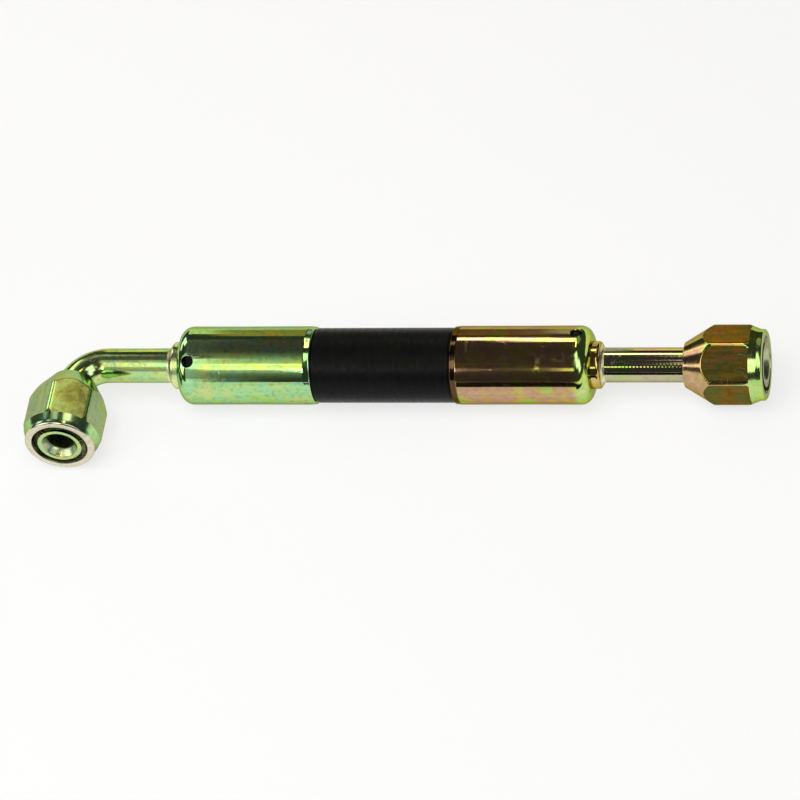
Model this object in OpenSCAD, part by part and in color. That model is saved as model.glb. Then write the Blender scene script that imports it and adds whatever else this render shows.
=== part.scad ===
// Hydraulic hose assembly: a four-spiral hose crimped between a 90 degree elbow end and a straight end.
// Each end is a flared steel tube with a loose sleeve and a loose hexagon nut.
// The hose's axis runs along X, the elbow's outlet points to -Y, and the assembly lies on z = 0.

/* [Hose] */
// Length of hose that shows between the two ferrules
hose_free_length = 39; // [20:1:2000]
// Bore of the hose
hose_bore_d = 9.5; // [9.2:0.1:12]
// Thickness of the rubber inner tube
inner_tube_t = 1.45; // [0.8:0.05:2.5]
// Thickness of one spiral wire ply
wire_ply_t = 0.44; // [0.3:0.02:0.8]
// Thickness of one gum layer between two wire plies
gum_ply_t = 0.24; // [0.15:0.01:0.6]
// Thickness of the rubber cover where it is free
cover_t = 1.54; // [1.2:0.02:3]
// How far a crimped ferrule presses the cover in, on the radius
cover_squeeze = 0.45; // [0.1:0.05:0.8]
// Length over which the cover swells back to its free size outside a ferrule
cover_swell_len = 0.8; // [0.3:0.1:3]
// Thickness that the bevel leaves of the cover at the hose's cut ends
cover_end_t = 0.3; // [0.1:0.05:0.35]

/* [Ferrule] */
// Overall length of a ferrule
ferrule_len = 38; // [30:0.1:60]
// Wall of a ferrule
ferrule_wall = 0.94; // [0.6:0.02:2]
// Thickness of the ferrule's inturned end
ferrule_end_t = 1.4; // [1.2:0.1:3]
// Outer radius of the ferrule's shoulder
shoulder_r = 3.3; // [2.5:0.1:4]
// Bevel at the ferrule's open rim
rim_bevel = 0.3; // [0.1:0.05:0.5]
// Diameter of a witness hole
witness_d = 3.2; // [1.5:0.1:4]
// Distance of a witness hole from the ferrule's end face
witness_from_end = 3.6; // [2.1:0.1:6]
// Turn of the elbow end's witness holes, from -Y towards +Z
elbow_witness_turn = 56; // [0:1:180]
// Turn of the straight end's witness holes, from -Y towards +Z
straight_witness_turn = 105; // [0:1:180]

/* [Stem] */
// Diameter of the stem's collar
collar_d = 13; // [12.8:0.1:16]
// Length of the stem's collar
collar_len = 2.6; // [2.2:0.1:6]
// Rounding of the collar's front edge
collar_round = 0.9; // [0.3:0.1:1]
// Diameter of the neck that the ferrule's end closes on
neck_d = 11.4; // [11:0.1:12]
// Diameter of the land behind the neck
land_d = 12.2; // [12:0.1:12.6]
// Length of the land behind the neck
land_len = 0.5; // [0.3:0.1:2]
// How far the socket that holds the tube reaches past the collar
socket_past = 1.2; // [0.2:0.1:1.2]
// Bore through the stem
stem_bore_d = 6.5; // [4:0.1:7]
// How far the stem's tip stops short of the ferrule's rim
stem_tip_back = 2.5; // [1:0.1:8]
// Number of barbs on the stem
barb_count = 5; // [2:1:8]
// Depth of the barbs
barb_depth = 0.4; // [0.1:0.05:0.6]
// Length of the plain stretch between the land and the first barb
barb_start = 3; // [1:0.1:6]

/* [Tubes] */
// Outer diameter of the tubes
tube_d = 9.53; // [9:0.01:9.7]
// Wall of the tubes
tube_wall = 1.24; // [0.7:0.01:1.6]
// Centreline radius of the elbow's bend
bend_r = 9.3; // [8.5:0.1:16]
// Distance from the outlet's axis to the collar's front face
elbow_leg = 27.8; // [20:0.1:200]
// Straight length of the outlet past what its nut and sleeve need
outlet_extra = 0; // [0:0.5:90]
// Length of straight tube that shows between collar and nut
tube_show = 22.9; // [10:0.1:300]
// Leg of the brazing fillet where a tube enters its collar
braze_leg = 1.1; // [0.5:0.1:1.5]

/* [Flare] */
// Outer diameter of the flares
flare_d = 12.3; // [11.5:0.1:12.6]
// Angle between the flare's cone and the tube's axis
flare_angle = 37; // [30:1:45]
// Width of the flat ring at the flare's rim
flare_land = 1.1; // [0.6:0.1:1.4]

/* [Nut] */
// Size across the nut's flats
nut_af = 19.05; // [18.5:0.05:24]
// Length of the nut
nut_len = 22; // [21:0.1:30]
// Amount the nut's corners are turned down, on the radius
corner_trim = 0.1; // [0.02:0.02:0.4]
// Minor diameter of the nut's thread
thread_minor_d = 12.9; // [12.8:0.05:13.4]
// Diameter of the counterbore at the nut's mouth
mouth_d = 15.6; // [14.2:0.1:16]
// Length of the counterbore at the nut's mouth
mouth_len = 1.6; // [0.4:0.1:2.4]
// Diameter of the nut's front face, inside its bevel
face_d = 18.7; // [17.5:0.1:19]
// Diameter of the nut's round front collar
nut_collar_d = 19.4; // [19.2:0.1:20.6]
// Length of the nut's round front collar
nut_collar_len = 1.4; // [0.8:0.1:2]
// Distance from the front face at which the flats start
flat_start = 3.5; // [2.4:0.1:3.9]
// Distance from the front face at which the corners start
corner_start = 4.4; // [4:0.1:6]
// Distance from the front face at which the corners end
corner_end = 14.2; // [10:0.1:17]
// Diameter of the nut's rear face, with its bevel
nut_tail_d = 12.7; // [12.7:0.1:15]
// Bevel at the nut's rear edges
tail_bevel = 0.25; // [0.1:0.05:0.3]
// Turn of the elbow end's nut, from a flat facing up towards +X
elbow_nut_turn = 20; // [0:1:60]
// Turn of the straight end's nut, from -Y towards +Z
straight_nut_turn = 21; // [0:1:60]

/* [Sleeve] */
// Overall length of a sleeve
sleeve_len = 10.4; // [7:0.1:10.5]
// Length of the sleeve's head
sleeve_head_len = 4.4; // [3:0.1:6]
// Wall of the sleeve's tail
sleeve_wall = 0.73; // [0.5:0.01:0.75]
// Width of the flat ring round the sleeve's seat, at its front face
seat_rim = 0.43; // [0.3:0.01:0.8]
// Forward travel of nut and sleeve until the sleeve seats on the flare
nut_travel = 8; // [5:0.1:8]

/* [Clearances] */
// Radial running clearance between tube, sleeve and nut
running_gap = 0.07; // [0.03:0.01:0.1]
// Axial play between the nut's inner shoulder and the sleeve
shoulder_play = 0.05; // [0.02:0.01:0.2]
// Play left between sleeve and flare at the end of the travel
seat_play = 0.1; // [0.05:0.05:0.3]
// Clearance between the bend and the nut and sleeve that stand back against it
bend_gap = 0.15; // [0.1:0.01:0.3]
// Bond line between pieces that are moulded, brazed or crimped together
bond_gap = 0.01; // [0:0.005:0.03]
// Gap between the hose's cut end and the metal in front of it
hose_end_gap = 0.2; // [0.1:0.1:1]

/* [Hidden] */
$fn = 96;
// Overlap used where one cut runs past a face
cut = 1;
// Overlap used where two stretches of one tube are joined
join = 0.02;
wire_plies = 4;

plating_green = "#A9B85A";
plating_gold = "#B08A3C";
plating_bright = "#C9CF9A";
braze_colour = "#D8CF9E";
rubber_black = "#161817";
gum_grey = "#3A3B3A";
wire_grey = "#8E9094";

// Radii of the hose's layers
hose_bore_r = hose_bore_d / 2;
inner_tube_r = hose_bore_r + inner_tube_t;
ply_step = wire_ply_t + gum_ply_t + 2 * bond_gap;
function wire_ply_r(ply) = inner_tube_r + bond_gap + (ply - 1) * ply_step;
function gum_ply_r(ply) = wire_ply_r(ply) + wire_ply_t + bond_gap;
cover_bore_r = gum_ply_r(wire_plies);
cover_r = cover_bore_r + cover_t;
cover_pressed_r = cover_r - cover_squeeze;

// Radii and corners of the ferrule
neck_r = neck_d / 2;
ferrule_bore_r = cover_pressed_r + bond_gap;
ferrule_r = ferrule_bore_r + ferrule_wall;
ferrule_eye_r = neck_r + bond_gap;
inner_corner = shoulder_r - ferrule_wall;

// Depth into the ferrule at which the hose's cut end clears the rounded corner and the stem's land
cover_end_r = cover_bore_r + cover_end_t;
corner_reach_in = max(0, cover_end_r - ferrule_bore_r + inner_corner);
corner_room = inner_corner - sqrt(inner_corner * inner_corner - corner_reach_in * corner_reach_in);
hose_depth = ferrule_end_t + max(corner_room, land_len + bond_gap) + hose_end_gap;
cover_bevel_len = max(hose_end_gap, ferrule_end_t + inner_corner - hose_depth);

// Stem
collar_r = collar_d / 2;
socket_depth = collar_len + socket_past;
insert_r = hose_bore_r - bond_gap;
stem_bore_r = stem_bore_d / 2;
land_start = collar_len + ferrule_end_t + bond_gap;
insert_start = land_start + land_len;
stem_len = collar_len + ferrule_len - stem_tip_back;
barb_pitch = (stem_len - insert_start - barb_start) / (barb_count + 0.5);

// Tube and flare
tube_r = tube_d / 2;
tube_bore_r = tube_r - tube_wall;
flare_r = flare_d / 2;
flare_len = (flare_r - tube_r) / tan(flare_angle);
flare_mouth_r = flare_r - flare_land;
flare_mouth_len = (flare_mouth_r - tube_bore_r) / tan(flare_angle);
socket_r = tube_r + 2 * bond_gap;

// Sleeve, measured from the flared face when nut and sleeve stand back on the tube
sleeve_bore_r = tube_r + running_gap;
sleeve_tail_r = sleeve_bore_r + sleeve_wall;
thread_r = thread_minor_d / 2;
sleeve_head_r = thread_r - running_gap;
seat_mouth_r = sleeve_head_r - seat_rim;
seat_len = (seat_mouth_r - sleeve_bore_r) / tan(flare_angle);
sleeve_start = (flare_r - seat_mouth_r) / tan(flare_angle) + seat_play + nut_travel;

// Nut
nut_corner_r = nut_af / sqrt(3);
nut_blank_r = nut_corner_r - corner_trim;
nut_shoulder = sleeve_start + sleeve_head_len + shoulder_play;
nut_rear_r = sleeve_tail_r + running_gap;
nut_collar_r = nut_collar_d / 2;
cone_slope = (nut_blank_r - nut_collar_r) / (corner_start - nut_collar_len);
shoulder_crest_r = nut_collar_r + cone_slope * (flat_start - nut_collar_len);

// Distance from the hose's axis to the flared face of the outlet: the nut's rear hole clears the bend's inside
nut_stop = bend_r - sqrt(pow(bend_r - tube_r, 2) - pow(bend_r - nut_rear_r + bend_gap, 2)) - tail_bevel;
sleeve_stop = bend_r + bend_gap;
outlet_drop = max(nut_stop + nut_len, sleeve_stop + sleeve_start + sleeve_len) + outlet_extra;

// Lowest reach of a nut whose corners are turned by an angle from the horizontal
trim_angle = 30 - acos(nut_af / 2 / nut_blank_r);
function corner_reach(angle) = nut_blank_r * cos(max(0, abs(angle) - trim_angle));
function nut_reach(turn) = max([for (i = [-3:3]) corner_reach(turn - 90 + i * 60)]);

// Places along the hose's axis, from the outlet's axis
elbow_ferrule_x = elbow_leg + collar_len;
elbow_rim_x = elbow_ferrule_x + ferrule_len;
straight_rim_x = elbow_rim_x + hose_free_length;
straight_ferrule_x = straight_rim_x + ferrule_len;
straight_collar_x = straight_ferrule_x + collar_len;
straight_face_x = straight_collar_x + tube_show + nut_len;
hose_start_x = elbow_ferrule_x + hose_depth;
hose_end_x = straight_ferrule_x - hose_depth;
hose_len = hose_end_x - hose_start_x;

// The origin is the middle of the assembly's footprint, on the surface it lies on
axis_height = max(ferrule_r, nut_reach(straight_nut_turn), nut_reach(elbow_nut_turn), shoulder_crest_r);
far_side_y = max(ferrule_r, nut_reach(straight_nut_turn + 90), shoulder_crest_r);
elbow_side_x = max(nut_reach(elbow_nut_turn + 90), shoulder_crest_r);
middle_x = (straight_face_x - elbow_side_x) / 2;
middle_y = (far_side_y - outlet_drop) / 2;

// Puts a piece that is drawn on the hose's axis into the assembly's frame
module in_place() {
    translate([-middle_x, -middle_y, axis_height]) children();
}

// A piece of the elbow end, drawn along Z from the collar's front face into the hose
module at_elbow_collar() {
    in_place() translate([elbow_leg, 0, 0]) rotate([0, 90, 0]) children();
}

// The same for the straight end
module at_straight_collar() {
    in_place() translate([straight_collar_x, 0, 0]) rotate([0, -90, 0]) children();
}

// A piece of the outlet, drawn along Z from the flared face back along the tube
module at_outlet_face() {
    in_place() translate([0, -outlet_drop, 0]) rotate([-90, 0, 0]) children();
}

// The same for the straight end
module at_straight_face() {
    in_place() translate([straight_face_x, 0, 0]) rotate([0, -90, 0]) children();
}

// A ring along Z between two radii
module ring(inner_r, outer_r, length) {
    rotate_extrude() translate([inner_r, 0]) square([outer_r - inner_r, length]);
}

// Outline of a bar with one rounded corner, at its start
module rounded_half(outer_r, length, corner) {
    union() {
        square([outer_r - corner, length]);
        translate([0, corner]) square([outer_r, length - corner]);
        translate([outer_r - corner, corner]) circle(r = corner);
    }
}

// Outside of a flare and the tube behind it
module flared_bar(length) {
    union() {
        cylinder(r1 = flare_r, r2 = tube_r, h = flare_len);
        translate([0, 0, flare_len - join]) cylinder(r = tube_r, h = length - flare_len + join);
    }
}

// Bore of a flare and the tube behind it
module flared_bore(length) {
    mouth_over = join * tan(flare_angle);
    translate([0, 0, -join]) cylinder(
        r1 = flare_mouth_r + mouth_over, r2 = tube_bore_r, h = flare_mouth_len + join);
    translate([0, 0, flare_mouth_len - join]) cylinder(r = tube_bore_r, h = length - flare_mouth_len + join);
}

// The bent stretch of the elbow at a given radius
module bend(radius) {
    translate([bend_r, -bend_r, 0]) rotate([0, 0, 90]) rotate_extrude(angle = 90)
        translate([bend_r, 0]) circle(r = radius);
}

// The elbow's run from the bend into the collar's socket at a given radius
module elbow_run(radius, past) {
    run = elbow_leg - bend_r + socket_depth - 2 * bond_gap;
    translate([bend_r - join, 0, 0]) rotate([0, 90, 0]) cylinder(r = radius, h = run + join + past);
}

module elbow_tube() {
    leg = outlet_drop - bend_r;
    color(plating_green) in_place() difference() {
        union() {
            translate([0, -outlet_drop, 0]) rotate([-90, 0, 0]) flared_bar(leg + join);
            bend(tube_r);
            elbow_run(tube_r, 0);
        }
        translate([0, -outlet_drop, 0]) rotate([-90, 0, 0]) flared_bore(leg + join);
        bend(tube_bore_r);
        elbow_run(tube_bore_r, cut);
    }
}

module straight_tube() {
    length = nut_len + tube_show + socket_depth - 2 * bond_gap;
    color(plating_gold) at_straight_face() difference() {
        flared_bar(length);
        flared_bore(length + cut);
    }
}

// Outline of one barb: a slope up to a sharp edge that holds the hose
module barb_groove(start) {
    polygon([
        [insert_r + cut, start],
        [insert_r - barb_depth, start],
        [insert_r, start + barb_pitch],
        [insert_r + cut, start + barb_pitch]]);
}

// Barbed stem: a collar with a socket for the tube, a neck, a land and the insert
module stem() {
    tip_bevel = barb_depth;
    difference() {
        rotate_extrude() union() {
            rounded_half(collar_r, collar_len, collar_round);
            square([neck_r, land_start + join]);
            translate([0, land_start]) square([land_d / 2, land_len]);
            difference() {
                square([insert_r, stem_len]);
                for (i = [0:barb_count - 1]) barb_groove(insert_start + barb_start + i * barb_pitch);
                polygon([
                    [insert_r - tip_bevel, stem_len],
                    [insert_r, stem_len - 2 * tip_bevel],
                    [insert_r + cut, stem_len - 2 * tip_bevel],
                    [insert_r + cut, stem_len + cut],
                    [insert_r - tip_bevel, stem_len + cut]]);
            }
        }
        translate([0, 0, -cut]) cylinder(r = socket_r, h = socket_depth + cut);
        translate([0, 0, socket_depth - join]) cylinder(r = stem_bore_r, h = stem_len);
    }
}

module elbow_stem() {
    color(plating_green) at_elbow_collar() stem();
}

module straight_stem() {
    color(plating_gold) at_straight_collar() stem();
}

// Hollow fillet of brazing metal round the tube, in front of the collar
module braze() {
    inner = tube_r + bond_gap;
    rotate_extrude() difference() {
        translate([inner, -bond_gap - braze_leg]) square(braze_leg);
        translate([inner + braze_leg, -bond_gap - braze_leg]) circle(r = braze_leg - join);
    }
}

module elbow_braze() {
    color(braze_colour) at_elbow_collar() braze();
}

module straight_braze() {
    color(braze_colour) at_straight_collar() braze();
}

// Ferrule: a drawn cup with a rounded shoulder, an eye for the neck and two witness holes
module ferrule(witness_turn) {
    translate([0, 0, collar_len]) difference() {
        rotate_extrude() difference() {
            rounded_half(ferrule_r, ferrule_len, shoulder_r);
            translate([0, ferrule_end_t]) rounded_half(ferrule_bore_r, ferrule_len, inner_corner);
            translate([0, -cut]) square([ferrule_eye_r, ferrule_len]);
            polygon([
                [ferrule_r - rim_bevel, ferrule_len],
                [ferrule_r, ferrule_len - rim_bevel],
                [ferrule_r + cut, ferrule_len - rim_bevel],
                [ferrule_r + cut, ferrule_len + cut],
                [ferrule_r - rim_bevel, ferrule_len + cut]]);
        }
        translate([0, 0, witness_from_end]) rotate([0, 0, witness_turn]) rotate([0, 90, 0])
            cylinder(d = witness_d, h = 2 * ferrule_r + 2 * cut, center = true, $fn = 48);
    }
}

module elbow_ferrule() {
    color(plating_green) at_elbow_collar() ferrule(-90 - elbow_witness_turn);
}

module straight_ferrule() {
    color(plating_gold) at_straight_collar() ferrule(straight_witness_turn - 90);
}

// Sleeve: its seat fits the back of the flare and its shoulder takes the nut
module sleeve() {
    translate([0, 0, sleeve_start]) rotate_extrude() polygon([
        [seat_mouth_r, 0],
        [sleeve_head_r, 0],
        [sleeve_head_r, sleeve_head_len],
        [sleeve_tail_r, sleeve_head_len],
        [sleeve_tail_r, sleeve_len],
        [sleeve_bore_r, sleeve_len],
        [sleeve_bore_r, seat_len]]);
}

module elbow_sleeve() {
    color(plating_bright) at_outlet_face() sleeve();
}

module straight_sleeve() {
    color(plating_bright) at_straight_face() sleeve();
}

// Hexagon nut with a round front collar and a tapered rear
module nut() {
    face_bevel = nut_collar_r - face_d / 2;
    tail_r = nut_tail_d / 2;
    thread_bevel = mouth_d / 2 - thread_r;
    difference() {
        intersection() {
            rotate_extrude() polygon([
                [0, 0],
                [face_d / 2, 0],
                [nut_collar_r, face_bevel],
                [nut_collar_r, nut_collar_len],
                [nut_blank_r, corner_start],
                [nut_blank_r, corner_end],
                [tail_r, nut_len - tail_bevel],
                [tail_r - tail_bevel, nut_len],
                [0, nut_len]]);
            union() {
                translate([0, 0, -cut]) cylinder(r = nut_corner_r + cut, h = flat_start + cut);
                translate([0, 0, flat_start - join]) cylinder(r = nut_corner_r, h = nut_len, $fn = 6);
            }
        }
        rotate_extrude() polygon([
            [0, -cut],
            [mouth_d / 2, -cut],
            [mouth_d / 2, mouth_len],
            [thread_r, mouth_len + thread_bevel],
            [thread_r, nut_shoulder],
            [nut_rear_r, nut_shoulder],
            [nut_rear_r, nut_len - tail_bevel],
            [nut_rear_r + tail_bevel + cut, nut_len + cut],
            [0, nut_len + cut]]);
    }
}

module elbow_nut() {
    color(plating_green) at_outlet_face() rotate([0, 0, elbow_nut_turn]) nut();
}

module straight_nut() {
    color(plating_gold) at_straight_face() rotate([0, 0, straight_nut_turn - 90]) nut();
}

// A layer of the hose that runs its whole length
module hose_layer(inner_r, thickness) {
    in_place() translate([hose_start_x, 0, 0]) rotate([0, 90, 0]) ring(inner_r, inner_r + thickness, hose_len);
}

module wire_ply(ply) {
    color(wire_grey) hose_layer(wire_ply_r(ply), wire_ply_t);
}

module gum_ply(ply) {
    color(gum_grey) hose_layer(gum_ply_r(ply), gum_ply_t);
}

module hose_inner_tube() {
    color(gum_grey) hose_layer(hose_bore_r, inner_tube_t);
}

module hose_wire_ply_1() {
    wire_ply(1);
}

module hose_gum_ply_1() {
    gum_ply(1);
}

module hose_wire_ply_2() {
    wire_ply(2);
}

module hose_gum_ply_2() {
    gum_ply(2);
}

module hose_wire_ply_3() {
    wire_ply(3);
}

module hose_gum_ply_3() {
    gum_ply(3);
}

module hose_wire_ply_4() {
    wire_ply(wire_plies);
}

// Rubber cover: pressed in under each ferrule and full size between them
module hose_cover() {
    gripped = elbow_rim_x - hose_start_x;
    color(rubber_black) in_place() translate([hose_start_x, 0, 0]) rotate([0, 90, 0]) rotate_extrude() polygon([
        [cover_bore_r, 0],
        [cover_end_r, 0],
        [cover_pressed_r, cover_bevel_len],
        [cover_pressed_r, gripped],
        [cover_r, gripped + cover_swell_len],
        [cover_r, hose_len - gripped - cover_swell_len],
        [cover_pressed_r, hose_len - gripped],
        [cover_pressed_r, hose_len - cover_bevel_len],
        [cover_end_r, hose_len],
        [cover_bore_r, hose_len]]);
}

elbow_tube();
elbow_stem();
elbow_braze();
elbow_ferrule();
elbow_sleeve();
elbow_nut();
straight_tube();
straight_stem();
straight_braze();
straight_ferrule();
straight_sleeve();
straight_nut();
hose_inner_tube();
hose_wire_ply_1();
hose_gum_ply_1();
hose_wire_ply_2();
hose_gum_ply_2();
hose_wire_ply_3();
hose_gum_ply_3();
hose_wire_ply_4();
hose_cover();
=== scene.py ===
# %% [markdown]
# # A hydraulic hose assembly
# A short piece of four-spiral hose is crimped between two steel ends. The elbow end turns through 90 degrees, the
# straight end goes straight on, and each ends in a flare that a loose hexagon nut pulls against its fitting.
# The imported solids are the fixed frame, so this lesson only makes surfaces and finishes round them, in metres.

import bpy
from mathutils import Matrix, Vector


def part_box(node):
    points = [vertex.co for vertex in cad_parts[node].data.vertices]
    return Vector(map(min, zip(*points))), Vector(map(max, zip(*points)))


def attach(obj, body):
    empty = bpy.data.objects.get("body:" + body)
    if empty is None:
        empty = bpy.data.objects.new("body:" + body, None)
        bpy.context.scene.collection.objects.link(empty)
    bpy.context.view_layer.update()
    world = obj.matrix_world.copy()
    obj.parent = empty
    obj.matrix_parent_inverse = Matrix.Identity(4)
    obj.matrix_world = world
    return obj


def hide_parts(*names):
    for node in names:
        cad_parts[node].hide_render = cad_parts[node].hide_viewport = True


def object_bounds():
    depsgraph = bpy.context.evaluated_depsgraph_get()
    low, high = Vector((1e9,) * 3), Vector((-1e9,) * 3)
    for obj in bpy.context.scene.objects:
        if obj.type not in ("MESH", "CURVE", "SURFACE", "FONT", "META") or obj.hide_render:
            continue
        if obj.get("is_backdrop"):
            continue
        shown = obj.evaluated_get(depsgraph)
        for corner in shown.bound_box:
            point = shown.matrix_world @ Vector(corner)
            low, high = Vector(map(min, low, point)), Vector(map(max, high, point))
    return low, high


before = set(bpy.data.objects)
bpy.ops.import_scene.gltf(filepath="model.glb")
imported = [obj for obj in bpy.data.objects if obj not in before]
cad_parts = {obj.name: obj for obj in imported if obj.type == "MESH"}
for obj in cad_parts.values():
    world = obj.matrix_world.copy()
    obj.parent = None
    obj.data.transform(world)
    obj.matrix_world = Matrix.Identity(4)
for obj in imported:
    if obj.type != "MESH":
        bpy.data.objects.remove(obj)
cad_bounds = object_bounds()

# %% Tools of the trade
import math

import bmesh
import bpy
from mathutils import Matrix, Vector, noise

MM = 0.001
TURN = 2 * math.pi
print("one turn is %.3f radians" % TURN)

# %% [markdown]
# ## Places taken from the solids
# Everything sits on two axes: the hose's own, and the outlet's, which leaves the bend towards -Y. The boxes of the
# solids say where these axes and the end faces are, so no place is written down twice.

# %% Axes and end faces
def middle(node):
    low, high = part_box(node)
    return (low + high) / 2


hose_axis = middle("hose_cover")
axis_y, axis_z = hose_axis.y, hose_axis.z
elbow_collar_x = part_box("elbow_stem")[0].x
straight_collar_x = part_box("straight_stem")[1].x
straight_face_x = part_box("straight_nut")[1].x
outlet_x = middle("elbow_nut").x
outlet_face_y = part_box("elbow_nut")[0].y
print("axis height %.2f mm, face to face %.1f mm" % (axis_z / MM, (straight_face_x - outlet_x) / MM))


# %% Four places from which pieces are drawn along +Z
def place(x, y, turn, about):
    return Matrix.Translation((x, y, axis_z)) @ Matrix.Rotation(math.radians(turn), 4, about)


at_elbow_collar = place(elbow_collar_x, axis_y, 90, "Y")
at_straight_collar = place(straight_collar_x, axis_y, -90, "Y")
at_outlet_face = place(outlet_x, outlet_face_y, -90, "X")
at_straight_face = place(straight_face_x, axis_y, -90, "Y")
print("elbow collar x %.1f mm, straight collar x %.1f mm" % (elbow_collar_x / MM, straight_collar_x / MM))

# %% [markdown]
# ## Camera
# A long lens a metre and a half away keeps the two ends at the same scale. The camera stands high in front and a
# little to the right, and it is rolled so that the hose lies level in its view.

# %% Direction of the view
TO_CAMERA = Vector((0.22, -0.62, 0.75)).normalized()
view_right = (Vector((1, 0, 0)) - TO_CAMERA * TO_CAMERA.x).normalized()
view_up = TO_CAMERA.cross(view_right)
print("camera stands %.0f degrees above the floor" % math.degrees(math.asin(TO_CAMERA.z)))

# %% Set the camera
CAMERA_DISTANCE = 1.52
LENS = 250
NEAR_LIMIT = 0.01
AIM_X = 0.4 * MM
AIM_DROP = 9.5 * MM
aim = Vector((AIM_X, axis_y, axis_z)) - view_up * AIM_DROP
camera_place = Matrix((view_right, view_up, TO_CAMERA)).transposed().to_4x4()
camera_place.translation = aim + TO_CAMERA * CAMERA_DISTANCE
camera = bpy.data.objects.new("camera", bpy.data.cameras.new("camera"))
bpy.context.scene.collection.objects.link(camera)
camera.matrix_world = camera_place
camera.data.lens = LENS
camera.data.clip_start = NEAR_LIMIT
bpy.context.scene.camera = camera
bpy.context.scene.view_settings.view_transform = "Standard"
print("camera at", [round(v, 3) for v in camera.location])

# %% [markdown]
# ## Node helpers
# A material is a small network of nodes. These helpers keep each network to a few readable lines: one makes a node
# and plugs in what it is given, one mixes two colours, one runs a number through a row of colours, and two do sums.

# %% Start a material and add nodes to it
def new_material(name):
    material = bpy.data.materials.new(name)
    material.use_nodes = True
    return material, material.node_tree, material.node_tree.nodes["Principled BSDF"]


def plug(tree, socket, value):
    if isinstance(value, bpy.types.NodeSocket):
        tree.links.new(value, socket)
    else:
        socket.default_value = value


def node(tree, kind, settings=None, **values):
    made = tree.nodes.new("ShaderNode" + kind)
    for name, value in (settings or {}).items():
        setattr(made, name, value)
    for name, value in values.items():
        plug(tree, made.inputs[name.replace("_", " ")], value)
    return made


print("a node takes its settings first and its sockets by name")

# %% Colours
MIX_FACTOR, MIX_FIRST, MIX_SECOND, MIX_COLOUR = 0, 6, 7, 2


def colour(code):
    """A linear colour from a painter's six-digit code, by the curve that all screens use."""
    parts = [int(code[i:i + 2], 16) / 255 for i in (0, 2, 4)]
    return [p / 12.92 if p <= 0.04045 else ((p + 0.055) / 1.055) ** 2.4 for p in parts] + [1]


def blend(tree, factor, first, second):
    made = node(tree, "Mix", {"data_type": "RGBA"})
    plug(tree, made.inputs[MIX_FACTOR], factor)
    plug(tree, made.inputs[MIX_FIRST], first)
    plug(tree, made.inputs[MIX_SECOND], second)
    return made.outputs[MIX_COLOUR]


def ramp(tree, factor, *stops):
    """Turns a number into a colour. A stop is a place from 0 to 1 and the colour that stands there."""
    made = node(tree, "ValToRGB", Fac=factor)
    row = made.color_ramp.elements
    while len(row) < len(stops):
        row.new(0.5)
    for element, (position, code) in zip(row, stops):
        element.position = position
        element.color = colour(code)
    return made.outputs["Color"]


print("the code 808080 is %.3f in linear light" % colour("808080")[0])


# %% Sums
def scale_to(tree, value, low, high, new_low, new_high):
    made = node(tree, "MapRange", Value=value, From_Min=low, From_Max=high, To_Min=new_low, To_Max=new_high)
    return made.outputs["Result"]


def reckon(tree, operation, first, second, clamp=False):
    made = node(tree, "Math", {"operation": operation, "use_clamp": clamp})
    plug(tree, made.inputs[0], first)
    plug(tree, made.inputs[1], second)
    return made.outputs[0]


print("node helpers ready")

# %% [markdown]
# ## Studio
# Bright metal shows what stands round it more than its own colour. The floor is white and gives the pale lower band on
# every round part. The room overhead is dark and gives the dark band above it. Narrow lamps give the thin bright
# lines, and one broad lamp that the metal doesn't mirror lights the rubber and lays a soft shadow on the floor.

# %% Dark room
ROOM_GREY = (0.045, 0.045, 0.045, 1)
world = bpy.data.worlds.new("studio")
world.use_nodes = True
world.node_tree.nodes["Background"].inputs["Color"].default_value = ROOM_GREY
bpy.context.scene.world = world
print("the room is grey", ROOM_GREY[0])


# %% Lay a flat sheet in the studio
def lay_sheet(name, material, half_side, matrix):
    shape = bmesh.new()
    bmesh.ops.create_grid(shape, x_segments=1, y_segments=1, size=half_side, matrix=matrix)
    mesh = bpy.data.meshes.new(name)
    shape.to_mesh(mesh)
    shape.free()
    mesh.materials.append(material)
    sheet = bpy.data.objects.new(name, mesh)
    bpy.context.scene.collection.objects.link(sheet)
    sheet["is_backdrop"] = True
    print(name, "laid")
    return sheet


# %% White floor
FLOOR_HALF = 6
FLOOR_GLOW = 0.732
WHITE_PAPER = (0.8, 0.8, 0.8, 1)
DIM_PAPER = (0.2, 0.2, 0.2, 1)


def white_floor():
    """White paper. The camera and the metal see it as dim paper with a glow, which comes out nearly white."""
    material, tree, shader = new_material("white_floor")
    tree.nodes.remove(shader)
    paper = node(tree, "BsdfDiffuse", Color=WHITE_PAPER)
    dim = node(tree, "BsdfDiffuse", Color=DIM_PAPER)
    glow = node(tree, "Emission", Color=(1, 1, 1, 1), Strength=FLOOR_GLOW)
    seen = node(tree, "AddShader")
    plug(tree, seen.inputs[0], dim.outputs[0])
    plug(tree, seen.inputs[1], glow.outputs[0])
    path = node(tree, "LightPath").outputs
    looked_at = reckon(tree, "ADD", path["Is Camera Ray"], path["Is Glossy Ray"])
    looked_at = reckon(tree, "ADD", looked_at, path["Is Transmission Ray"], clamp=True)
    mix = node(tree, "MixShader", Fac=looked_at)
    plug(tree, mix.inputs[1], paper.outputs[0])
    plug(tree, mix.inputs[2], seen.outputs[0])
    plug(tree, tree.nodes["Material Output"].inputs["Surface"], mix.outputs[0])
    return material


lay_sheet("floor", white_floor(), FLOOR_HALF, Matrix.Identity(4))

# %% [markdown]
# ## Dark cards
# Black paper beside bright metal gives its curve a dark band with a sharp edge. Two papers lie on the floor in front of
# the part. Only reflections show them, so the floor stays white and its shadow stays soft. The camera stands to the
# right, so each paper leans to the left as it gets further from the part.

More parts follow.
